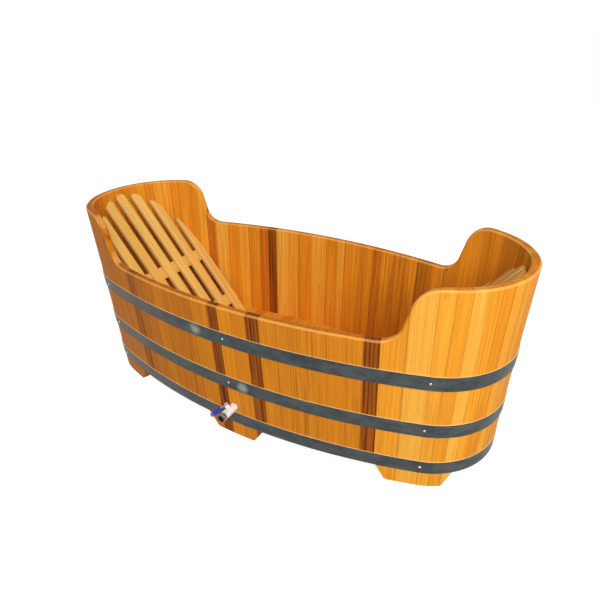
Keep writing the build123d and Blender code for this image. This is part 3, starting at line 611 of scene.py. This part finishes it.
def hoop_steel():
    """Flat blackened steel, brushed lengthwise, smeared in places, with a painted reflection of the wood
    on its left part and a painted highlight along its top edge."""
    f = Finish("hoop_steel")
    brush = f.noise(f.x * 9.0, f.y * 9.0, f.z * 1500.0, detail=3.0, roughness=0.6)
    cloud = f.noise(f.x * 14.0, f.y * 14.0, f.z * 30.0, detail=4.0, roughness=0.65)
    fleck = f.noise(f.x * 130.0, f.y * 130.0, f.z * 260.0, detail=2.0).step(0.64, 0.74)
    scratch = f.noise(f.x * 3.0, f.y * 3.0, f.z * 420.0, detail=2.0, roughness=0.5)
    # Painted reflection of the wood: a warm tint towards the left end
    warm_reflection = f.x.step(-0.20, -0.60) * cloud.step(0.25, 0.60)
    in_front = f.y.step(0.0, -0.1)
    colour = f.blend(cloud.step(0.30, 0.72), STEEL["dark"], STEEL["worn"])
    colour = f.blend(brush.step(0.50, 0.85) * 0.25, colour, STEEL["brushed"])
    colour = f.blend(scratch.step(0.56, 0.70) * 0.35, colour, STEEL["scratch"])
    colour = f.blend(warm_reflection * 0.6, colour, STEEL["warm_reflection"])
    for smear_x, smear_z, half_length in HOOP_SMEARS:
        near = distance((f.x - smear_x) / half_length, (f.z - smear_z) / SMEAR_HALF_HEIGHT)
        near = near + (cloud - 0.5) * 1.4
        colour = f.blend(near.step(1.0, 0.2) * in_front * 0.55, colour, STEEL["smear"])
    colour = f.blend(fleck * 0.25, colour, STEEL["fleck"])
    # Painted highlight along the top edge, on faces that look up
    edge = f.facing()[2].step(0.30, 0.55)
    colour = f.blend(edge * 0.9, colour, STEEL["edge_highlight"])
    roughness = brush * 0.16 + cloud * 0.12 + 0.34
    height = brush * 0.3 + cloud * 0.2
    return f.surface(
        colour, roughness, height, relief=0.0002, fixed={"Metallic": 0.25, "Specular IOR Level": 0.3})


def bare_metal(name, colour, dull, rough, cast, metallic):
    """Plated or bare metal, with a cast skin where cast is over 0."""
    f = Finish(name)
    skin = f.noise(f.x * 900.0, f.y * 900.0, f.z * 900.0, detail=2.0)
    wear = f.noise(f.x * 110.0, f.y * 110.0, f.z * 110.0, detail=4.0, roughness=0.65)
    shade = f.blend(wear.step(0.40, 0.72), colour, dull)
    roughness = wear * 0.16 + skin * 0.08 + rough
    height = skin * cast + wear * 0.3
    return f.surface(shade, roughness, height, relief=0.0002, fixed={"Metallic": metallic})


def soft_stuff(name, colour, shade, rough, coat):
    """Moulded or dipped plastic and rubber."""
    f = Finish(name)
    mottle = f.noise(f.x * 160.0, f.y * 160.0, f.z * 160.0, detail=3.0)
    grain = f.noise(f.x * 1400.0, f.y * 1400.0, f.z * 1400.0, detail=1.0)
    mixed = f.blend(mottle.step(0.3, 0.7), colour, shade)
    height = grain * 0.2 + mottle * 0.4
    return f.surface(mixed, mottle * 0.1 + rough, height, relief=0.0003, fixed={"Coat Weight": coat})


def cover(nodes, material):
    for name in nodes:
        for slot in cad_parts[name].material_slots:
            slot.material = material
    return material


def cover_wood():
    """Puts the woods on the wall, the backrests and the floor."""
    names = sorted(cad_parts)
    for run in RUNS:
        cover([n for n in names if n.startswith(run + "_staves")], stave_wood(run))
    for side, end in ((-1, "left"), (1, "right")):
        cover([end + "_backrest_slats"], slat_wood(end + "_slat_wood", side))
        battens = [end + "_backrest_lower_batten", end + "_backrest_upper_batten"]
        cover(battens, batten_wood(end + "_batten_wood", side))
    cover([n for n in names if n.endswith("floor_boards")], floor_wood())
    cover(["floor_bearers"], bearer_wood())


class Making(Tree):
    """A geometry node tree in the making. Its sizes are named inputs."""

    def __init__(self, name, sizes):
        super().__init__(bpy.data.node_groups.new(name, "GeometryNodeTree"))
        self.name = name
        self.sizes = sizes
        face = self.tree.interface
        face.new_socket("Spots", in_out="INPUT", socket_type="NodeSocketGeometry")
        self.keys = {}
        for label, value in sizes.items():
            kind = "NodeSocketInt" if isinstance(value, int) else "NodeSocketFloat"
            self.keys[label] = face.new_socket(label, in_out="INPUT", socket_type=kind).identifier
        face.new_socket("Made", in_out="OUTPUT", socket_type="NodeSocketGeometry")
        spots = self.node("NodeGroupInput", output="Spots")
        self.given = {label: spots.beside(label) for label in ("Spots", *sizes)}

    def moved_up(self, shape, height):
        return self.node("GeometryNodeTransform", {}, {
            "Geometry": shape, "Translation": self.vector(0.0, 0.0, height)})

    def block(self, x, y, z, height):
        """A box with its middle at a height on the upright axis."""
        return self.moved_up(self.node("GeometryNodeMeshCube", {}, {"Size": self.vector(x, y, z)}), height)

    def turned(self, axis, pivot, label, turn):
        """A turn that also brings an axis of the shape to a named direction of its spot."""
        heading = self.node(
            "GeometryNodeInputNamedAttribute", {"data_type": "FLOAT_VECTOR"}, {"Name": label})
        return self.node(
            "FunctionNodeAlignRotationToVector", {"axis": axis, "pivot_axis": pivot},
            {"Vector": heading, **turn})

    def scatter(self, shape, material):
        """Ends the tree: the shape on each spot, turned by chance within the twist."""
        facing = self.turned("Z", "AUTO", "facing", {})
        turn = self.turned("Y", "Z", "along", {"Rotation": facing})
        set_out = self.node("GeometryNodeInstanceOnPoints", {}, {
            "Points": self.given["Spots"], "Instance": shape, "Rotation": turn})
        twist = self.node("FunctionNodeRandomValue", {"data_type": "FLOAT"}, {
            2: 0.0, 3: self.given["Twist"], "Seed": self.given["Seed"]}, output=1)
        set_out = self.node("GeometryNodeRotateInstances", {}, {
            "Instances": set_out, "Rotation": self.vector(0.0, 0.0, twist), "Local Space": True})
        whole = self.node("GeometryNodeRealizeInstances", {}, {"Geometry": set_out})
        whole = self.node("GeometryNodeSetMaterial", {}, {"Geometry": whole, "Material": material})
        self.node("NodeGroupOutput", {}, {0: whole})

    def piece(self, spots):
        """A plain mesh of the tree's shape on each (place, facing, along) spot."""
        mesh = bpy.data.meshes.new(self.name + "_spots")
        mesh.from_pydata([place for place, facing, along in spots], [], [])
        for column, label in ((1, "facing"), (2, "along")):
            values = mesh.attributes.new(label, "FLOAT_VECTOR", "POINT").data
            for value, spot in zip(values, spots):
                value.vector = spot[column]
        holder = bpy.data.objects.new(self.name + "_holder", mesh)
        bpy.context.scene.collection.objects.link(holder)
        modifier = holder.modifiers.new(self.name, "NODES")
        modifier.node_group = self.tree
        for label, value in self.sizes.items():
            modifier[self.keys[label]] = value
        graph = bpy.context.evaluated_depsgraph_get()
        made = bpy.data.meshes.new_from_object(holder.evaluated_get(graph))
        bpy.data.objects.remove(holder)
        piece = bpy.data.objects.new(self.name, made)
        bpy.context.scene.collection.objects.link(piece)
        return piece


def hoop_screw_spots():
    """Where the hoop screws sit: in the middle of each side and by the ends of the side arcs, but
    none close by the drain."""
    spots = []
    for top in HOOP_TOPS:
        z = top - HOOP_HEIGHT / 2
        proud = (z - REFERENCE_HEIGHT) * FLARE + HOOP_PROUD
        turn = pi / 2 - TANGENT - HOOP_SCREW_FROM_TANGENT / END_REACH
        x = END_X + (END_REACH + proud) * cos(turn)
        y = (END_REACH + proud) * sin(turn)
        for to_back in (-1, 1):
            for to_right in (-1, 1):
                place = (to_right * x, MIDDLE_Y + to_back * y, z)
                spots.append((place, (to_right * cos(turn), to_back * sin(turn), -FLARE), (0, 0, 1)))
            if top != HOOP_TOPS[-1] or to_back > 0:
                place = (0, MIDDLE_Y + to_back * (SIDE_REACH + proud - SIDE_Y), z)
                spots.append((place, (0, to_back, -FLARE), (0, 0, 1)))
    return spots


def hoop_screws(material):
    """Domed screws with a cross recess, which pin the hoops to the staves."""
    f = Making("hoop_screw_heads", HOOP_SCREW)
    size = f.given
    radius, height = size["Head Radius"], size["Head Height"]
    long, narrow, middle = size["Recess Length"], size["Recess Width"], size["Recess Middle"]
    dome = f.node("GeometryNodeMeshUVSphere", {}, {
        "Segments": DOME_SEGMENTS, "Rings": DOME_SEGMENTS // 2, "Radius": 1.0})
    dome = f.node("GeometryNodeTransform", {}, {
        "Geometry": dome, "Scale": f.vector(radius, radius, height)})
    below = f.block(UNDER_HEAD, UNDER_HEAD, UNDER_HEAD / 2, -UNDER_HEAD / 4)
    recess = [f.block(long, narrow, height, middle), f.block(narrow, long, height, middle)]
    head = f.node("GeometryNodeMeshBoolean", {"operation": "DIFFERENCE"}, {
        "Mesh 1": dome, "Mesh 2": [below] + recess})
    shank = f.node("GeometryNodeMeshCylinder", {}, {
        "Vertices": SHANK_SEGMENTS, "Radius": size["Shank Radius"], "Depth": size["Shank Length"]})
    shank = f.moved_up(shank, SHANK_IN_HEAD - size["Shank Length"] * 0.5)
    f.scatter(f.node("GeometryNodeJoinGeometry", {}, {"Geometry": [head, shank]}), material)
    heads = f.piece(hoop_screw_spots())
    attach(heads, "tub")
    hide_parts("hoop_screws")


def outlet_grip(material):
    """Ribs round the outlet's collar, to turn it by hand, in a pale metal that is a painted highlight on
    dark ribs.
    """
    y = MIDDLE_Y - DRAIN_WALL - COLLAR_FROM_WALL
    spots = []
    for i in range(OUTLET_RIBS):
        angle = 2 * pi * i / OUTLET_RIBS
        out = (cos(angle), 0.0, sin(angle))
        place = (DRAIN_X + COLLAR_RADIUS * out[0], y, DRAIN_Z + COLLAR_RADIUS * out[2])
        spots.append((place, out, (0, -1, 0)))
    f = Making("outlet_grip_ribs", OUTLET_RIB)
    f.scatter(f.block(f.given["Rib Width"], f.given["Rib Length"], f.given["Rib Height"], 0.0), material)
    ribs = f.piece(spots)
    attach(ribs, "tub")


def photo_camera():
    """A camera at the place and angle of the photograph's."""
    level = Vector((cos(CAMERA_YAW), sin(CAMERA_YAW), 0.0))
    forward = Vector((
        -sin(CAMERA_YAW) * cos(CAMERA_PITCH), cos(CAMERA_YAW) * cos(CAMERA_PITCH), -sin(CAMERA_PITCH)))
    upright = level.cross(forward)
    right = cos(CAMERA_ROLL) * level + sin(CAMERA_ROLL) * upright
    up = cos(CAMERA_ROLL) * upright - sin(CAMERA_ROLL) * level
    turn = Matrix((right, up, -forward)).transposed().to_4x4()
    data = bpy.data.cameras.new("camera")
    data.sensor_width = SENSOR_WIDTH
    data.lens = FOCAL_PIXELS * SENSOR_WIDTH / PHOTO_WIDTH
    camera = bpy.data.objects.new("camera", data)
    camera.matrix_world = Matrix.Translation(CAMERA_PLACE) @ turn
    bpy.context.scene.collection.objects.link(camera)
    bpy.context.scene.camera = camera


def soft_panels():
    """Large square panels of light."""
    for name, (place, side, power) in PANELS.items():
        data = bpy.data.lights.new(name, "AREA")
        data.size = side
        data.energy = power
        panel = bpy.data.objects.new(name, data)
        turn = (LIT_PLACE - place).to_track_quat("-Z", "Y").to_matrix().to_4x4()
        panel.matrix_world = Matrix.Translation(place) @ turn
        bpy.context.scene.collection.objects.link(panel)


def seen_rays(f):
    """1 where the camera looks, straight or by way of gloss or glass."""
    camera = f.node("ShaderNodeLightPath", output="Is Camera Ray")
    return camera.most(camera.beside("Is Glossy Ray")).most(camera.beside("Is Transmission Ray"))


def background():
    """White all round for the camera and in gloss, and a plain grey level as light."""
    world = bpy.data.worlds.new("studio")
    world.use_nodes = True
    f = Tree(world.node_tree)
    light = f.node("ShaderNodeBackground", {}, {"Color": WHITE, "Strength": SKY_LIGHT})
    seen = f.node("ShaderNodeBackground", {}, {"Color": WHITE, "Strength": 1.0})
    both = f.node("ShaderNodeMixShader", {}, {0: seen_rays(f), 1: light, 2: seen})
    f.node("ShaderNodeOutputWorld", {}, {"Surface": both})
    bpy.context.scene.world = world


def studio_floor():
    """A white floor, a little brighter to the camera, that keeps the tub's shadow."""
    material = bpy.data.materials.new("studio_floor")
    material.use_nodes = True
    f = Tree(material.node_tree)
    lit = f.node("ShaderNodeBsdfDiffuse", {}, {"Color": FLOOR_WHITE})
    glow = f.node("ShaderNodeEmission", {}, {"Strength": FLOOR_GLOW})
    seen_glow = f.node("ShaderNodeMixShader", {}, {0: seen_rays(f), 2: glow})
    both = f.node("ShaderNodeAddShader", {}, {0: lit, 1: seen_glow})
    f.node("ShaderNodeOutputMaterial", {}, {"Surface": both})

    corners = ((-1, -1), (1, -1), (1, 1), (-1, 1))
    mesh = bpy.data.meshes.new("studio_floor")
    mesh.from_pydata([(x * FLOOR_REACH, y * FLOOR_REACH, 0) for x, y in corners], [], [(0, 1, 2, 3)])
    mesh.materials.append(material)
    floor = bpy.data.objects.new("studio_floor", mesh)
    bpy.context.scene.collection.objects.link(floor)


cover_wood()
cover(["top_hoop", "middle_hoop", "bottom_hoop", "hoop_rivets"], hoop_steel())
metals = {name: cover(nodes, bare_metal(name, *look)) for name, (*look, nodes) in METALS.items()}
for name, (*look, nodes) in SOFT_STUFFS.items():
    cover(nodes, soft_stuff(name, *look))
hoop_screws(metals["screw_steel"])
outlet_grip(metals["rubbed_chrome"])
photo_camera()
soft_panels()
background()
studio_floor()
bpy.context.scene.view_settings.view_transform = "Standard"
